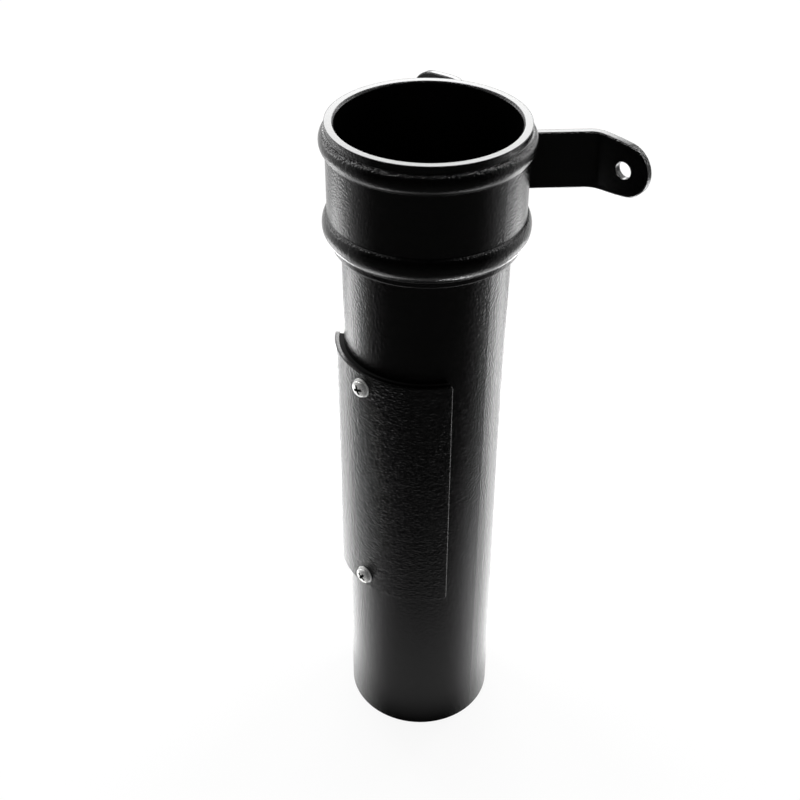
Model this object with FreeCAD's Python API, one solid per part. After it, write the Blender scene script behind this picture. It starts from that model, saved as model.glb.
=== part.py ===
import FreeCAD, Part
import math
import os

# Rainwater access pipe in powder-coated aluminium: a short length of round downpipe with a
# cast socket collar on top, two fixing ears on the collar and a curved access door that two
# screws hold over an opening in the pipe.
# Millimetres, +Z up along the pipe, origin at the centre of the pipe's lower end.
# The door faces -Y. The ears reach back to the wall, on the +Y side.

V = FreeCAD.Vector
ORIGIN = V(0, 0, 0)
RIGHT = V(1, 0, 0)
TO_WALL = V(0, 1, 0)
UP = V(0, 0, 1)
same_place = 1e-6

# Pipe
pipe_outer_radius = 40.0
pipe_wall = 2.0
length_below_collar = 300.0

# Collar casting
collar_height = 59.8
pipe_seat_depth = 14.0
pipe_seat_clearance = 0.1
stop_ledge_height = 3.0
socket_clearance = 2.0
socket_lead_in = 0.9
band_thickness = 4.3
upper_bead_drop = 8.3
upper_bead_height = 10.2
upper_bead_proud = 2.8
lower_bead_rise = 10.2
lower_bead_height = 11.6
lower_bead_proud = 2.4
lip_setback = 1.9
lip_height = 2.6

# Fixing ears, cast in one with the collar
wall_gap = 31.6
ear_thickness = 3.6
ear_height = 28.5
ear_taper = 1.05
ear_middle_above_collar = 30.8
ear_hole_radius = 4.3
ear_hole_spacing = 119.0
ear_bend_offset = 42.0
ear_arm_angle = 46.4
ear_bend_radius = 8.0
ear_root_fillet = 5.0
ear_root_sink = 0.15
ear_edge_bevel = 0.6

# Access door, its gasket and the opening that they cover
door_bottom = 105.0
door_height = 140.0
door_span_angle = 113.0
door_turn_angle = 3.5
door_sheet = 2.2
door_corner_radius = 1.5
door_edge_bevel = 0.3
gasket_thickness = 2.2
gasket_inset = 0.5
opening_end_margin = 16.0
opening_side_margin = 9.0
opening_corner_radius = 8.0

# Door screws, with pan heads and a cross recess
screw_edge_distance = 8.0
screw_radius = 2.5
screw_length = 10.0
thread_clearance = 0.05
pass_clearance = 0.3
head_radius = 5.5
head_side_height = 0.9
head_top_radius = 3.6
head_height = 3.0
recess_depth = 2.0
recess_length = 5.6
recess_width = 1.4

# Sizes that follow from those above
pipe_inner_radius = pipe_outer_radius - pipe_wall
pipe_seat_radius = pipe_outer_radius + pipe_seat_clearance
pipe_top = length_below_collar + pipe_seat_depth
socket_floor = pipe_top + stop_ledge_height
socket_radius = pipe_outer_radius + socket_clearance
collar_bottom = length_below_collar
collar_top = collar_bottom + collar_height
band_radius = socket_radius + band_thickness
lip_radius = band_radius - lip_setback
wall_plane = pipe_outer_radius + wall_gap
ear_middle = collar_bottom + ear_middle_above_collar
ear_tip_radius = ear_height / 2 - ear_taper
ear_hole_offset = ear_hole_spacing / 2
arm_angle = math.radians(ear_arm_angle)
gasket_outer_radius = pipe_outer_radius + gasket_thickness
door_outer_radius = gasket_outer_radius + door_sheet
door_middle = door_bottom + door_height / 2
door_half_angle = math.radians(door_span_angle / 2)
upper_screw_height = door_bottom + door_height - screw_edge_distance
lower_screw_height = door_bottom + screw_edge_distance


def line(start, end):
    return Part.LineSegment(start, end).toShape()


def arc(start, middle, end):
    return Part.Arc(start, middle, end).toShape()


def prism(edges, direction):
    """The solid that a closed outline sweeps along a direction."""
    return Part.Face(Part.Wire(edges)).extrude(direction)


def middle_of(edge):
    return edge.valueAt((edge.FirstParameter + edge.LastParameter) / 2)


def from_axis(point):
    return math.hypot(point.x, point.y)


def curved_panel(inner_radius, outer_radius, height, half_angle, corner_radius):
    """A panel wrapped round the pipe at the door's place, with rounded corners.

    Its middle is turned from -Y towards +X, so it sits a little off the line of the screws.
    """
    bottom = door_middle - height / 2
    top = door_middle + height / 2
    section = Part.Face(Part.makePolygon([
        V(0, -inner_radius, bottom),
        V(0, -outer_radius, bottom),
        V(0, -outer_radius, top),
        V(0, -inner_radius, top),
        V(0, -inner_radius, bottom),
    ]))
    span = math.degrees(2 * half_angle)
    section.rotate(ORIGIN, UP, door_turn_angle - span / 2)
    panel = section.revolve(ORIGIN, UP, span)
    corners = [edge for edge in panel.Edges
               if edge.Curve.TypeId == "Part::GeomLine" and edge.BoundBox.ZLength < same_place]
    return panel.makeFillet(corner_radius, corners)


def cut_screw_holes(shape, clearance):
    """Cut the holes of both door screws, each from the axis out through the door."""
    for height in (upper_screw_height, lower_screw_height):
        reach = door_outer_radius + head_height
        shape = shape.cut(Part.makeCylinder(
            screw_radius + clearance, reach, V(0, 0, height), -TO_WALL))
    return shape


def pipe():
    """The drawn tube, with the access opening and the two tapped screw holes."""
    outside = Part.makeCylinder(pipe_outer_radius, pipe_top)
    bore = Part.makeCylinder(pipe_inner_radius, pipe_top)
    opening = curved_panel(
        pipe_inner_radius - pipe_wall,
        pipe_outer_radius + pipe_wall,
        door_height - 2 * opening_end_margin,
        door_half_angle - opening_side_margin / pipe_outer_radius,
        opening_corner_radius,
    )
    return cut_screw_holes(outside.cut(bore).cut(opening), thread_clearance)


def path(points):
    return [line(start, end) for start, end in zip(points, points[1:])]


def bead(middle, height, proud):
    """One raised bead of the collar's outline: its foot, its crown and its head."""
    half_height = height / 2
    return [
        V(band_radius, 0, middle - half_height),
        V(band_radius + proud, 0, middle),
        V(band_radius, 0, middle + half_height),
    ]


def collar_body():
    """The turned form of the collar: pipe seat, stop ledge and socket inside, beads outside."""
    lower_bead = bead(collar_bottom + lower_bead_rise, lower_bead_height, lower_bead_proud)
    upper_bead = bead(collar_top - upper_bead_drop, upper_bead_height, upper_bead_proud)
    inside = path([
        upper_bead[-1],
        V(band_radius, 0, collar_top),
        V(socket_radius + socket_lead_in, 0, collar_top),
        V(socket_radius, 0, collar_top - socket_lead_in),
        V(socket_radius, 0, socket_floor),
        V(pipe_inner_radius, 0, socket_floor),
        V(pipe_inner_radius, 0, pipe_top),
        V(pipe_seat_radius, 0, pipe_top),
        V(pipe_seat_radius, 0, collar_bottom),
        V(lip_radius, 0, collar_bottom),
        V(lip_radius, 0, collar_bottom + lip_height),
        lower_bead[0],
    ])
    outside = [arc(*lower_bead), line(lower_bead[-1], upper_bead[0]), arc(*upper_bead)]
    return Part.Face(Part.Wire(inside + outside)).revolve(ORIGIN, UP, 360)


def ear_side(depth, bend_radius, root_side):
    """One side of an ear in plan, from inside the collar's wall to past the ear's tip.

    depth is how far the side lies in front of the wall, and root_side is 1 for the side
    that faces the wall and -1 for the side that faces away from it.
    """
    along = V(math.cos(arm_angle), math.sin(arm_angle), 0)
    across = V(-math.sin(arm_angle), math.cos(arm_angle), 0)
    corner_setback = math.tan(arm_angle / 2)
    corner = V(ear_bend_offset + depth * corner_setback, wall_plane - depth, 0)
    bend_start = corner - along * (bend_radius * corner_setback)
    bend_end = corner + RIGHT * (bend_radius * corner_setback)
    bend_centre = bend_start - across * bend_radius
    half_turn = V(-math.sin(arm_angle / 2), math.cos(arm_angle / 2), 0)
    tip = V(ear_hole_offset + 2 * ear_tip_radius, corner.y, 0)

    offset = corner.dot(across)
    root_across = offset + root_side * ear_root_fillet
    root_reach = band_radius - ear_root_sink + ear_root_fillet
    root_along = math.sqrt(root_reach ** 2 - root_across ** 2)
    root_centre = along * root_along + across * root_across
    on_arm = along * root_along + across * offset
    to_axis = root_centre * (-1 / root_reach)
    on_band = root_centre + to_axis * ear_root_fillet
    towards_arm = across * -root_side
    between = (to_axis + towards_arm).normalize()
    inside_wall = to_axis * -(band_radius - band_thickness / 2)
    edges = [
        line(inside_wall, on_band),
        arc(on_band, root_centre + between * ear_root_fillet, on_arm),
        line(on_arm, bend_start),
        arc(bend_start, bend_centre + half_turn * bend_radius, bend_end),
        line(bend_end, tip),
    ]
    return inside_wall, tip, edges


def ear_outline():
    """An ear seen from the front: level over its arm, then drawn in to a round tip."""
    half_height = ear_height / 2
    run = ear_hole_offset - ear_bend_offset
    taper_radius = (run ** 2 + half_height ** 2 - ear_tip_radius ** 2) / (2 * ear_taper)
    drop = taper_radius - half_height
    meeting_angle = math.atan2(drop, run)

    def on_taper(angle, side):
        return V(ear_bend_offset + taper_radius * math.cos(angle), 0,
                 ear_middle + side * (taper_radius * math.sin(angle) - drop))

    def taper(side):
        straight_up = math.pi / 2
        return [on_taper(angle, side) for angle in (
            straight_up, (straight_up + meeting_angle) / 2, meeting_angle)]

    top, bottom = taper(1), taper(-1)
    root_top = V(0, 0, ear_middle + half_height)
    root_bottom = V(0, 0, ear_middle - half_height)
    tip = V(ear_hole_offset + ear_tip_radius, 0, ear_middle)
    return [
        line(root_top, top[0]),
        arc(*top),
        arc(top[-1], tip, bottom[-1]),
        arc(*reversed(bottom)),
        line(bottom[0], root_bottom),
        line(root_bottom, root_top),
    ]


def ear():
    """The ear on the right, with its front edges eased and its fixing hole."""
    back_root, back_tip, back = ear_side(0, ear_bend_radius + ear_thickness, 1)
    front_root, front_tip, front = ear_side(ear_thickness, ear_bend_radius, -1)
    plan = back + front + [line(back_tip, front_tip), line(back_root, front_root)]
    plate = prism(Part.sortEdges(plan)[0], UP * (collar_top + ear_height))
    shape = plate.common(prism(ear_outline(), TO_WALL * (wall_plane + ear_thickness)))

    front_side = Part.Wire(front)

    def is_front_outline(edge):
        point = middle_of(edge)
        plan_point = Part.Vertex(V(point.x, point.y, 0))
        upright = edge.BoundBox.DiagonalLength - edge.BoundBox.ZLength < same_place
        in_wall = from_axis(point) < band_radius - ear_root_sink
        on_front = front_side.distToShape(plan_point)[0] < same_place
        return on_front and not upright and not in_wall

    shape = shape.makeChamfer(ear_edge_bevel, [e for e in shape.Edges if is_front_outline(e)])
    hole = Part.makeCylinder(
        ear_hole_radius, 2 * wall_plane, V(ear_hole_offset, 0, ear_middle), TO_WALL)
    return shape.cut(hole)


def collar():
    """The casting: the turned body with an ear on each side."""
    right = ear()
    left = right.mirror(ORIGIN, RIGHT)
    return collar_body().fuse(right).fuse(left)


def door_gasket():
    """The rubber sheet behind the door, a little smaller than the door all round."""
    sheet = curved_panel(
        pipe_outer_radius,
        gasket_outer_radius,
        door_height - 2 * gasket_inset,
        door_half_angle - gasket_inset / door_outer_radius,
        door_corner_radius,
    )
    return cut_screw_holes(sheet, pass_clearance)


def access_door():
    """The curved sheet door, with its outer edges eased."""
    sheet = curved_panel(
        gasket_outer_radius,
        door_outer_radius,
        door_height,
        door_half_angle,
        door_corner_radius,
    )
    rim = [edge for edge in sheet.Edges
           if abs(from_axis(middle_of(edge)) - door_outer_radius) < same_place]
    return cut_screw_holes(sheet.makeChamfer(door_edge_bevel, rim), pass_clearance)


def door_screw(height):
    """One door screw, its head seated on the door and its end through the pipe's wall."""
    section = path([
        V(0, 0, -screw_length),
        V(screw_radius, 0, -screw_length),
        V(screw_radius, 0, 0),
        V(head_radius, 0, 0),
        V(head_radius, 0, head_side_height),
        V(head_top_radius, 0, head_height),
        V(0, 0, head_height),
        V(0, 0, -screw_length),
    ])
    screw = Part.Face(Part.Wire(section)).revolve(ORIGIN, UP, 360)
    slot = Part.makeBox(
        recess_length, recess_width, recess_depth,
        V(-recess_length / 2, -recess_width / 2, head_height - recess_depth))
    crossing = slot.copy()
    crossing.rotate(ORIGIN, UP, 90)
    screw = screw.cut(slot.fuse(crossing))
    screw.rotate(ORIGIN, RIGHT, 90)
    screw.translate(V(0, -door_outer_radius, height))
    return screw


pieces = {
    "pipe": pipe(),
    "collar": collar(),
    "door_gasket": door_gasket(),
    "access_door": access_door(),
    "screw_upper": door_screw(upper_screw_height),
    "screw_lower": door_screw(lower_screw_height),
}

os.makedirs("parts", exist_ok=True)
for name, shape in pieces.items():
    shape.exportStep(f"parts/{name}.step")
    print(name, shape.isValid(), len(shape.Solids), round(shape.Volume))
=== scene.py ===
import math

import bmesh
import bpy
from mathutils import Matrix, Vector


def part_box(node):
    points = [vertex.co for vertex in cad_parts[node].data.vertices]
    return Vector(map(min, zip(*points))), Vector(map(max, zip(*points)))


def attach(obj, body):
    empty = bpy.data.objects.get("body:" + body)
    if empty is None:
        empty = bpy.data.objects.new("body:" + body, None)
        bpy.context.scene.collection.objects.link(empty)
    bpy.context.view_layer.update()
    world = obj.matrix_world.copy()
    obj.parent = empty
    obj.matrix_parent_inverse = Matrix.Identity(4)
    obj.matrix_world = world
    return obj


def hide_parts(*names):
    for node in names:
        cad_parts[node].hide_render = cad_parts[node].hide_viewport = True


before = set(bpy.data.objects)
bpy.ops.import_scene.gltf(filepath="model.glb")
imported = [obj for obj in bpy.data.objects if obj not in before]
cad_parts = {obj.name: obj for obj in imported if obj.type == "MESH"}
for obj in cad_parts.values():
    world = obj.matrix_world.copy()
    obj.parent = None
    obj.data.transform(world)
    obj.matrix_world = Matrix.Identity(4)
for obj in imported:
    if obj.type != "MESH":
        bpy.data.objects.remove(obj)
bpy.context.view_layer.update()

# Camera, placed by its bearing, distance and height from the foot of the pipe's axis
CAMERA_BEARING = math.radians(42.0)
CAMERA_DISTANCE = 0.52207
CAMERA_HEIGHT = 0.59616
CAMERA_YAW = math.radians(-1.337)
CAMERA_PITCH = math.radians(36.822)
CAMERA_ROLL = math.radians(0.157)
FOCAL_LENGTH_PX = 1270.49
IMAGE_WIDTH_PX = 800
SENSOR_WIDTH = 36.0
NEAR_CLIP = 0.01

MM = 0.001
QUARTER_TURN = math.pi / 2

# The floor, its table round the foot and the point that the lamps face, in metres
FLOOR_HALF_SIZE = 3.0
TABLE_EDGE = 0.10
TABLE_EDGE_SOFTNESS = 0.09
FOOT_RADIUS = 0.040
FOOT_SHADE_RADIUS = 0.060
NEAR_FLOOR_REACH = 0.30
LAMP_TARGET = Vector((0.0, 0.0, 0.3))

# The studio's light, with white as 1
WHITE = (1.0, 1.0, 1.0, 1.0)
SHOWN_WHITE = 1.02
FLOOR_WHITE = 0.85
FLOOR_GLOSS_ROUGHNESS = 0.15
FLOOR_SHADOW = 0.12
# The floor's painted glow round the foot, which only gloss sees, and how much that painted light gains at
# the sides
NEAR_FLOOR_TONE = 0.27
NEAR_FLOOR_SIDE_GAIN = 5.5
WORLD_LIGHT = 0.35

# Where the studio turns from dark to white, as cosines of the angle from the camera's bearing
DARK_SIDE_START = 0.36
WHITE_SIDE_START = -0.62
DARK_SIDE_FALLOFF = 1.1

# Where the floor's painted glow gains towards the sides and back of the foot, as cosines of the same angle
SIDE_GAIN_START = 0.9
SIDE_GAIN_END = -0.5

# Lamps: degrees round from the camera's bearing, elevation, distance, width, height and radiance
LAMPS = {
    "back_box": (180, 23, 1.4, 1.2, 0.55, 5.6),
    "left_box": (-122, 16, 1.4, 1.0, 0.6, 2.4),
    "right_box": (122, 16, 1.4, 1.0, 0.6, 2.4),
    "overhead_left": (-137, 70, 1.3, 0.16, 0.4, 24.0),
    "overhead_right": (137, 70, 1.3, 0.16, 0.4, 24.0),
}

# Powder coat. Its grain changes with the upward part of the surface's direction.
COAT_BLACK = (0.0007, 0.0007, 0.0007, 1.0)
COAT_ROUGHNESS = 0.2
COAT_IOR = 1.6
EDGE_SAMPLES = 8
TOP_START = 0.95
TOP_FULL = 0.995
TOP_GRAIN = 0.12
SHOULDER_LOW = (0.5, 0.65)
SHOULDER_HIGH = (0.985, 0.95)
SHOULDER_GRAIN_GAIN = 6.5

# The casting's parting line, by its bearing
PARTING_BEARING = math.radians(-3.5)
PARTING_HALF_WIDTH = 0.3 * MM
PARTING_DEPTH = 0.35 * MM
BAND_RADIUS = 46.3 * MM
BEAD_START = BAND_RADIUS + 0.2 * MM
BEAD_FULL = BAND_RADIUS + 0.9 * MM

# Pan head screws: a thin flange, a steep side, a low dome and a cross recess
SCREW_TURNS = {"screw_upper": math.radians(20), "screw_lower": math.radians(-35)}
SCREW_SEAT_TO_CAD_TOP = 3.0 * MM
HEAD_HEIGHT = 3.3 * MM
FLANGE_RADIUS = 4.9 * MM
FLANGE_HEIGHT = 0.6 * MM
SIDE_RADIUS = 4.25 * MM
SIDE_HEIGHT = 1.8 * MM
SHOULDER_ROUNDING = 0.9 * MM
FLANGE_ROUNDING = 0.25 * MM
RECESS_DEPTH = 2.2 * MM
RECESS_REACH = 2.9 * MM
RECESS_WIDTH = 1.5 * MM
RECESS_TAPER = 0.65
RECESS_OVERCUT = 0.4 * MM
RECESS_FACES_WITHIN = RECESS_REACH * 1.05
RECESS_FACES_BELOW_DOME = 0.04 * MM
THREAD_RADIUS = 2.5 * MM
THREAD_DEPTH = 0.4 * MM
THREAD_PITCH = 0.8 * MM
THREAD_SEGMENTS = 32
ROWS_PER_PITCH = 8
HEAD_SEGMENTS = 96
DOME_STEPS = 14
SHOULDER_STEPS = 8
FLANGE_STEPS = 4
SHARP_ANGLE = math.radians(40)

# Steel, with fine scratches that vary its roughness
STEEL_METALLIC = 0.7
STEEL_WARMTH = 0.985
STEEL_EDGE_RADIUS = 0.08 * MM
SCRATCH_SCALE = 2500.0
SCRATCH_DEPTH = 0.01 * MM


def facing(bearing, elevation=0.0):
    """The unit vector that points from the pipe towards a bearing, 0 being -Y and 90 deg +X."""
    flat = math.cos(elevation)
    return Vector((math.sin(bearing) * flat, -math.cos(bearing) * flat, math.sin(elevation)))


def add_camera():
    heading = CAMERA_YAW - CAMERA_BEARING
    forward = Vector((math.sin(heading) * math.cos(CAMERA_PITCH),
                      math.cos(heading) * math.cos(CAMERA_PITCH),
                      -math.sin(CAMERA_PITCH)))
    level_right = Vector((math.cos(heading), -math.sin(heading), 0.0))
    level_up = level_right.cross(forward)
    right = level_right * math.cos(CAMERA_ROLL) + level_up * math.sin(CAMERA_ROLL)
    up = right.cross(forward)
    data = bpy.data.cameras.new("camera")
    data.sensor_width = SENSOR_WIDTH
    data.lens = SENSOR_WIDTH * FOCAL_LENGTH_PX / IMAGE_WIDTH_PX
    data.clip_start = NEAR_CLIP
    camera = bpy.data.objects.new("camera", data)
    bpy.context.scene.collection.objects.link(camera)
    turn = Matrix((right, up, -forward)).transposed().to_4x4()
    place = facing(CAMERA_BEARING) * CAMERA_DISTANCE + Vector((0, 0, CAMERA_HEIGHT))
    camera.matrix_world = Matrix.Translation(place) @ turn
    bpy.context.scene.camera = camera


class Nodes:
    """A material's node tree, with short ways to add a node and wire its inputs."""

    def __init__(self, tree):
        self.tree = tree
        tree.nodes.clear()

    def add(self, kind, **settings):
        inputs = settings.pop("inputs", {})
        node = self.tree.nodes.new(kind)
        for name, value in settings.items():
            setattr(node, name, value)
        for name, value in inputs.items():
            self.feed(node.inputs[name], value)
        return node

    def feed(self, socket, value):
        if isinstance(value, bpy.types.NodeSocket):
            self.tree.links.new(value, socket)
        else:
            socket.default_value = value

    def place(self):
        return self.add("ShaderNodeTexCoord").outputs["Object"]

    def noise(self, scale, detail=2.0, vector=None):
        inputs = {"Scale": scale, "Detail": detail, "Vector": vector or self.place()}
        return self.add("ShaderNodeTexNoise", inputs=inputs).outputs["Fac"]

    def math(self, operation, a, b=0.0):
        return self.add("ShaderNodeMath", operation=operation, inputs={0: a, 1: b}).outputs[0]

    def scaled(self, vector, factors):
        inputs = {0: vector, 1: factors}
        return self.add("ShaderNodeVectorMath", operation="MULTIPLY", inputs=inputs).outputs[0]

    def level(self, vector):
        return self.scaled(vector, (1, 1, 0))

    def direction(self, vector):
        return self.add("ShaderNodeVectorMath", operation="NORMALIZE", inputs={0: vector}).outputs[0]

    def length(self, vector):
        return self.add("ShaderNodeVectorMath", operation="LENGTH", inputs={0: vector}).outputs["Value"]

    def along(self, vector, axis):
        inputs = {0: vector, 1: axis}
        return self.add("ShaderNodeVectorMath", operation="DOT_PRODUCT", inputs=inputs).outputs["Value"]

    def ranged(self, value, low, high, to_low=0.0, to_high=1.0, soft=False):
        inputs = {"Value": value, "From Min": low, "From Max": high, "To Min": to_low, "To Max": to_high}
        course = "SMOOTHSTEP" if soft else "LINEAR"
        return self.add("ShaderNodeMapRange", interpolation_type=course, inputs=inputs).outputs["Result"]

    def rounded(self, radius):
        return self.add("ShaderNodeBevel", samples=EDGE_SAMPLES, inputs={"Radius": radius}).outputs["Normal"]

    def bump(self, height, distance, normal=None):
        inputs = {"Height": height, "Distance": distance, "Strength": 1.0}
        if normal:
            inputs["Normal"] = normal
        return self.add("ShaderNodeBump", inputs=inputs).outputs["Normal"]

    def diffuse(self, grey):
        return self.add("ShaderNodeBsdfDiffuse", inputs={"Color": (grey, grey, grey, 1.0)})

    def emission(self, strength):
        return self.add("ShaderNodeEmission", inputs={"Strength": strength})

    def mix_shaders(self, share, first, second):
        return self.add("ShaderNodeMixShader", inputs={0: share, 1: first.outputs[0], 2: second.outputs[0]})

    def add_shaders(self, first, second):
        return self.add("ShaderNodeAddShader", inputs={0: first.outputs[0], 1: second.outputs[0]})


def new_material(name):
    material = bpy.data.materials.new(name)
    material.use_nodes = True
    return material, Nodes(material.node_tree)


def finish_surface(nodes, **inputs):
    shader = nodes.add("ShaderNodeBsdfPrincipled", inputs=inputs)
    nodes.add("ShaderNodeOutputMaterial", inputs={"Surface": shader.outputs["BSDF"]})


def powder_coat(name, grain, depth, edge_radius, stretch=1.0, cast=False):
    """Black powder coat: a gloss skin over a fine grain, which a stretch over 1 draws out level.

    Faces that point up are smoother than the walls.
    """
    material, nodes = new_material(name)
    height = nodes.noise(grain, detail=1.0, vector=nodes.scaled(nodes.place(), (1, 1, stretch)))
    normal = nodes.add("ShaderNodeNewGeometry").outputs["Normal"]
    upwards = nodes.add("ShaderNodeSeparateXYZ", inputs={0: normal}).outputs["Z"]
    height = nodes.math("MULTIPLY", height, nodes.ranged(upwards, TOP_FULL, TOP_START, TOP_GRAIN, 1.0))
    skin = nodes.rounded(edge_radius)
    if cast:
        skin = nodes.bump(parting_line(nodes), -PARTING_DEPTH, normal=skin)
        height = nodes.math("MULTIPLY", height, shoulder_grain(nodes, upwards))
    finish_surface(nodes, **{
        "Base Color": COAT_BLACK,
        "Roughness": COAT_ROUGHNESS,
        "IOR": COAT_IOR,
        "Normal": nodes.bump(height, depth, normal=skin),
    })
    return material


def shoulder_grain(nodes, upwards):
    """How much coarser the casting's grain is, which is most on the beads' upper shoulders."""
    above_wall = nodes.ranged(upwards, *SHOULDER_LOW)
    below_top = nodes.ranged(upwards, *SHOULDER_HIGH)
    share = nodes.math("MULTIPLY", nodes.math("MULTIPLY", above_wall, below_top), on_beads(nodes))
    return nodes.ranged(share, 0.0, 1.0, 1.0, SHOULDER_GRAIN_GAIN)


def on_beads(nodes):
    """1 on the beads, which stand proud of the band, and 0 within the band's radius."""
    return nodes.ranged(nodes.length(nodes.level(nodes.place())), BEAD_START, BEAD_FULL)


def parting_line(nodes):
    """1 on the casting's parting line, down the front of its beads, and 0 away from it."""
    place = nodes.place()
    offset = nodes.math("ABSOLUTE", nodes.along(place, facing(PARTING_BEARING + QUARTER_TURN)))
    line = nodes.math("MULTIPLY", nodes.ranged(offset, PARTING_HALF_WIDTH, 0.0), on_beads(nodes))
    at_front = nodes.math("GREATER_THAN", nodes.along(place, facing(PARTING_BEARING)), 0.0)
    return nodes.math("MULTIPLY", line, at_front)


def rubber():
    material, nodes = new_material("gasket_rubber")
    finish_surface(nodes, **{
        "Base Color": (0.004, 0.004, 0.004, 1.0),
        "Roughness": 0.75,
        "Specular IOR Level": 0.25,
        "Normal": nodes.bump(nodes.noise(900.0), 0.05 * MM),
    })
    return material


def steel(name, shade, roughness):
    material, nodes = new_material(name)
    scratches = nodes.noise(SCRATCH_SCALE)
    finish_surface(nodes, **{
        "Base Color": (shade, shade, shade * STEEL_WARMTH, 1.0),
        "Metallic": STEEL_METALLIC,
        "Roughness": nodes.ranged(scratches, 0.3, 0.7, roughness * 0.7, roughness * 1.3),
        "Normal": nodes.bump(scratches, SCRATCH_DEPTH, normal=nodes.rounded(STEEL_EDGE_RADIUS)),
    })
    return material


def dress(node, material):
    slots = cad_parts[node].data.materials
    if len(slots):
        slots[0] = material
    else:
        slots.append(material)


def new_object(name, mesh):
    piece = bpy.data.objects.new(name, mesh)
    bpy.context.scene.collection.objects.link(piece)
    return piece


def new_mesh(name, form):
    """A mesh of what bmesh has built, which is then freed."""
    mesh = bpy.data.meshes.new(name)
    form.to_mesh(mesh)
    form.free()
    return mesh


def turned(name, profile):
    """A solid turned about Z from (radius, height) points that start and end on the axis."""
    form = bmesh.new()
    angles = [math.tau * step / HEAD_SEGMENTS for step in range(HEAD_SEGMENTS)]
    rings = []
    for radius, height in profile:
        if radius == 0.0:
            rings.append([form.verts.new((0, 0, height))])
        else:
            corners = [(radius * math.cos(a), radius * math.sin(a), height) for a in angles]
            rings.append([form.verts.new(corner) for corner in corners])
    for upper, lower in zip(rings, rings[1:]):
        for step in range(HEAD_SEGMENTS):
            corners = [ring[(step + turn) % HEAD_SEGMENTS] if len(ring) > 1 else ring[0]
                       for ring, turn in ((upper, 0), (lower, 0), (lower, 1), (upper, 1))]
            form.faces.new(list(dict.fromkeys(corners)))
    bmesh.ops.recalc_face_normals(form, faces=form.faces)
    return new_object(name, new_mesh(name, form))


def arc(centre, radius, start, end, steps):
    """Points of an arc in the (radius, height) plane, by angles from the level outward direction."""
    angles = [start + (end - start) * step / steps for step in range(steps + 1)]
    return [(centre[0] + radius * math.cos(a), centre[1] + radius * math.sin(a)) for a in angles]


def screw_head():
    """A pan head that stands on z = 0, with its second material, a dark painted shade, on its recess."""
    dome_radius = SIDE_RADIUS - SHOULDER_ROUNDING
    rise = HEAD_HEIGHT - SIDE_HEIGHT - SHOULDER_ROUNDING
    curve = (dome_radius ** 2 + rise ** 2) / (2 * rise)
    dome_edge = math.acos(dome_radius / curve)
    dome = arc((0.0, HEAD_HEIGHT - curve), curve, QUARTER_TURN, dome_edge, DOME_STEPS)
    shoulder = arc((dome_radius, SIDE_HEIGHT), SHOULDER_ROUNDING, QUARTER_TURN, 0.0, SHOULDER_STEPS)
    rounding = (FLANGE_RADIUS - FLANGE_ROUNDING, FLANGE_HEIGHT - FLANGE_ROUNDING)
    flange = arc(rounding, FLANGE_ROUNDING, QUARTER_TURN, 0.0, FLANGE_STEPS)
    outside = [(0.0, HEAD_HEIGHT)] + dome[1:] + shoulder[1:] + [(SIDE_RADIUS, FLANGE_HEIGHT)] + flange
    head = turned("head", outside + [(FLANGE_RADIUS, 0.0), (0.0, 0.0)])
    for turn in (0.0, QUARTER_TURN):
        cut = head.modifiers.new("recess", "BOOLEAN")
        cut.operation = "DIFFERENCE"
        cut.object = recess_slot(turn)
        cut.solver = "EXACT"
    shape = bpy.data.meshes.new_from_object(head.evaluated_get(bpy.context.evaluated_depsgraph_get()))
    for helper in [cut.object for cut in head.modifiers] + [head]:
        bpy.data.objects.remove(helper)
    # The recess faces take the second material: painted shade inside the cross recess
    for face in shape.polygons:
        x, y, height = face.center
        dome_height = HEAD_HEIGHT - curve + math.sqrt(max(curve ** 2 - x ** 2 - y ** 2, 0.0))
        below_dome = 0.0 < height < dome_height - RECESS_FACES_BELOW_DOME
        in_recess = math.hypot(x, y) < RECESS_FACES_WITHIN and below_dome
        face.material_index = 1 if in_recess else 0
    return shape


def recess_slot(turn):
    """One arm pair of the cross recess, a block that narrows towards its floor."""
    form = bmesh.new()
    bmesh.ops.create_cube(form, size=2.0)
    for corner in form.verts:
        at_top = corner.co.z > 0
        share = 1.0 if at_top else RECESS_TAPER
        height = HEAD_HEIGHT + RECESS_OVERCUT if at_top else HEAD_HEIGHT - RECESS_DEPTH
        corner.co = (corner.co.x * RECESS_REACH * share, corner.co.y * RECESS_WIDTH * share / 2, height)
    bmesh.ops.rotate(form, verts=form.verts, matrix=Matrix.Rotation(turn, 3, "Z"))
    return new_object("slot", new_mesh("slot", form))


def screw_shank(length):
    """A threaded shank down from the head's seat, its radius going in and out along the helix."""
    rows = round(length / THREAD_PITCH * ROWS_PER_PITCH)
    form = bmesh.new()
    rings = []
    for row in range(rows + 1):
        height = -length * row / rows
        ring = []
        for step in range(THREAD_SEGMENTS):
            phase = (height / THREAD_PITCH + step / THREAD_SEGMENTS) % 1.0
            radius = THREAD_RADIUS - THREAD_DEPTH * abs(2 * phase - 1)
            angle = math.tau * step / THREAD_SEGMENTS
            ring.append(form.verts.new((radius * math.cos(angle), radius * math.sin(angle), height)))
        rings.append(ring)
    for upper, lower in zip(rings, rings[1:]):
        for step in range(THREAD_SEGMENTS):
            after = (step + 1) % THREAD_SEGMENTS
            form.faces.new((upper[step], lower[step], lower[after], upper[after]))
    form.faces.new(rings[0])
    form.faces.new(list(reversed(rings[-1])))
    bmesh.ops.recalc_face_normals(form, faces=form.faces)
    return new_mesh("shank", form)


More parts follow.
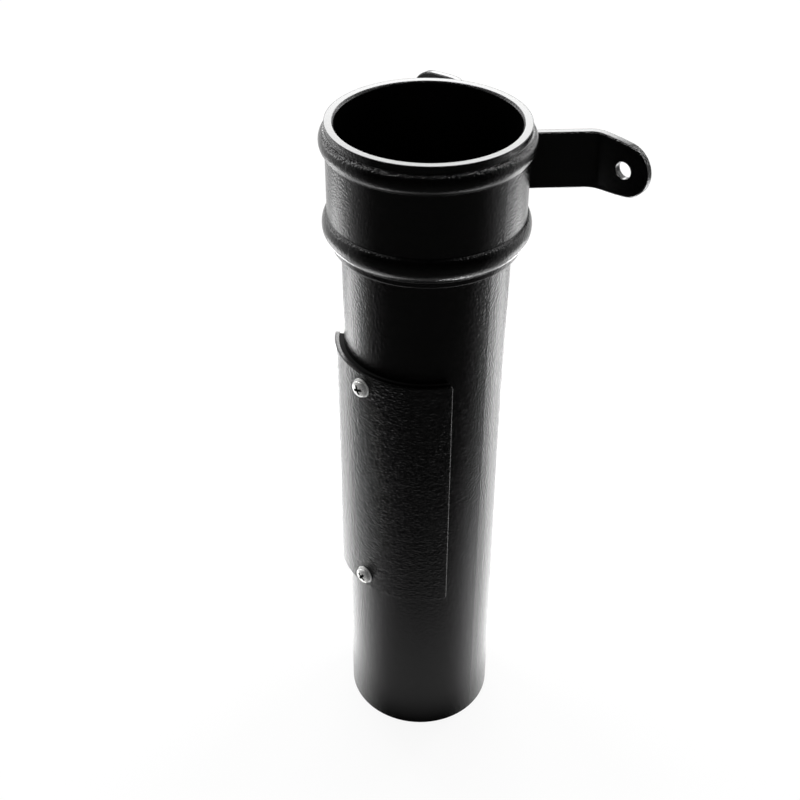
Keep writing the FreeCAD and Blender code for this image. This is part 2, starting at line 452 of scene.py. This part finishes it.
def add_screw(node, materials, turn):
    """A steel screw in the place of a plain one, along Y with its head outwards."""
    low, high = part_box(node)
    seat = low[1] + SCREW_SEAT_TO_CAD_TOP
    form = bmesh.new()
    form.from_mesh(screw_head())
    form.from_mesh(screw_shank(high[1] - seat))
    bmesh.ops.rotate(form, verts=form.verts, matrix=Matrix.Rotation(turn, 3, "Z"))
    bmesh.ops.rotate(form, verts=form.verts, matrix=Matrix.Rotation(QUARTER_TURN, 3, "X"))
    bmesh.ops.translate(form, verts=form.verts, vec=(0.0, seat, (low[2] + high[2]) / 2))
    mesh = new_mesh(node + "_steel", form)
    for material in materials:
        mesh.materials.append(material)
    mesh.shade_smooth()
    mesh.set_sharp_from_angle(angle=SHARP_ANGLE)
    screw = new_object(node + "_steel", mesh)
    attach(screw, "root")
    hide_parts(node)


def studio_tone(nodes, direction):
    """How bright the white studio is in a direction: dark at the camera's side, white at the rest."""
    towards_camera = nodes.along(nodes.direction(nodes.level(direction)), facing(CAMERA_BEARING))
    share = nodes.ranged(towards_camera, DARK_SIDE_START, WHITE_SIDE_START)
    return nodes.math("POWER", share, DARK_SIDE_FALLOFF)


def near_floor_glow(nodes):
    """How bright gloss sees the floor's painted glow round the foot: a table that ends towards the camera,
    painted shade close to the foot and painted light that gains towards the sides.
    """
    level = nodes.level(nodes.place())
    from_axis = nodes.length(level)
    forward = nodes.along(level, facing(CAMERA_BEARING))
    on_table = nodes.ranged(forward, TABLE_EDGE + TABLE_EDGE_SOFTNESS, TABLE_EDGE, soft=True)
    # Painted shade: the glow fades to dark close to the foot
    clear_of_foot = nodes.ranged(from_axis, FOOT_RADIUS, FOOT_SHADE_RADIUS)
    to_front = nodes.along(nodes.direction(level), facing(CAMERA_BEARING))
    # Painted light: the glow gains towards the sides and back of the foot
    side_gain = nodes.ranged(to_front, SIDE_GAIN_START, SIDE_GAIN_END, 1.0, NEAR_FLOOR_SIDE_GAIN, soft=True)
    near = nodes.ranged(from_axis, NEAR_FLOOR_REACH, FOOT_SHADE_RADIUS, soft=True)
    tone = NEAR_FLOOR_TONE
    for factor in (on_table, clear_of_foot, side_gain, near):
        tone = nodes.math("MULTIPLY", factor, tone)
    return tone


def add_floor():
    """A white floor, matt to the eye. Gloss sees a mirror of the studio with a painted glow round the foot
    added to it.
    """
    bpy.ops.mesh.primitive_plane_add(size=2 * FLOOR_HALF_SIZE)
    floor = bpy.context.object
    floor.name = "floor"
    material, nodes = new_material("floor")
    path = nodes.add("ShaderNodeLightPath")
    mirror = nodes.add("ShaderNodeBsdfGlossy", inputs={"Color": WHITE, "Roughness": FLOOR_GLOSS_ROUGHNESS})
    # Painted light: the floor glows to gloss round the foot, added to its mirror
    painted_glow_and_mirror = nodes.add_shaders(nodes.emission(near_floor_glow(nodes)), mirror)
    shown = nodes.add_shaders(nodes.diffuse(FLOOR_SHADOW), nodes.emission(SHOWN_WHITE - FLOOR_SHADOW))
    by_camera = nodes.mix_shaders(path.outputs["Is Camera Ray"], nodes.diffuse(FLOOR_WHITE), shown)
    by_gloss = nodes.mix_shaders(path.outputs["Is Glossy Ray"], by_camera, painted_glow_and_mirror)
    nodes.add("ShaderNodeOutputMaterial", inputs={"Surface": by_gloss.outputs[0]})
    floor.data.materials.append(material)


def add_lamp(name, bearing, elevation, distance, width, height, radiance):
    """An oval soft box that faces the part, as bright as a white surface times its radiance."""
    data = bpy.data.lights.new(name, "AREA")
    data.shape = "ELLIPSE"
    data.size = width
    data.size_y = height
    data.energy = radiance * math.pi * (math.pi / 4 * width * height)
    lamp = bpy.data.objects.new(name, data)
    bpy.context.scene.collection.objects.link(lamp)
    away = facing(CAMERA_BEARING + math.radians(bearing), math.radians(elevation)) * distance
    lamp.location = LAMP_TARGET + away
    lamp.rotation_euler = (-away).to_track_quat("-Z", "Y").to_euler()
    lamp.visible_camera = False


def light_world():
    """A world that is white to the eye, the studio's tone to gloss and an even light to the rest."""
    world = bpy.data.worlds.new("world")
    bpy.context.scene.world = world
    world.use_nodes = True
    nodes = Nodes(world.node_tree)
    path = nodes.add("ShaderNodeLightPath")
    in_gloss = path.outputs["Is Glossy Ray"]
    direction = nodes.add("ShaderNodeTexCoord").outputs["Generated"]
    seen = nodes.math("MAXIMUM", path.outputs["Is Camera Ray"], path.outputs["Is Transmission Ray"])
    gloss_tone = nodes.math("MULTIPLY", in_gloss, studio_tone(nodes, direction))
    lights = nodes.math("SUBTRACT", 1.0, nodes.math("MAXIMUM", seen, in_gloss))
    even_light = nodes.math("MULTIPLY", lights, WORLD_LIGHT)
    strength = nodes.math("ADD", even_light, nodes.math("ADD", seen, gloss_tone))
    background = nodes.add("ShaderNodeBackground", inputs={"Color": WHITE, "Strength": strength})
    nodes.add("ShaderNodeOutputWorld", inputs={"Surface": background.outputs[0]})


add_camera()
dress("pipe", powder_coat("pipe_powder_coat", grain=850.0, depth=0.28 * MM, edge_radius=0.4 * MM))
dress("collar",
      powder_coat("cast_powder_coat", grain=950.0, depth=0.18 * MM, edge_radius=0.7 * MM, cast=True))
dress("access_door",
      powder_coat("door_powder_coat", grain=650.0, depth=0.42 * MM, edge_radius=0.7 * MM, stretch=1.7))
dress("door_gasket", rubber())
# The second steel is near black: painted shade inside the screws' cross recesses
screw_steel = (steel("screw_steel", 0.95, 0.3), steel("screw_recess_painted_shade", 0.04, 0.5))
for screw, turn in SCREW_TURNS.items():
    add_screw(screw, screw_steel, turn)
add_floor()
light_world()
for lamp, placing in LAMPS.items():
    add_lamp(lamp, *placing)

bpy.context.scene.view_settings.view_transform = "Standard"
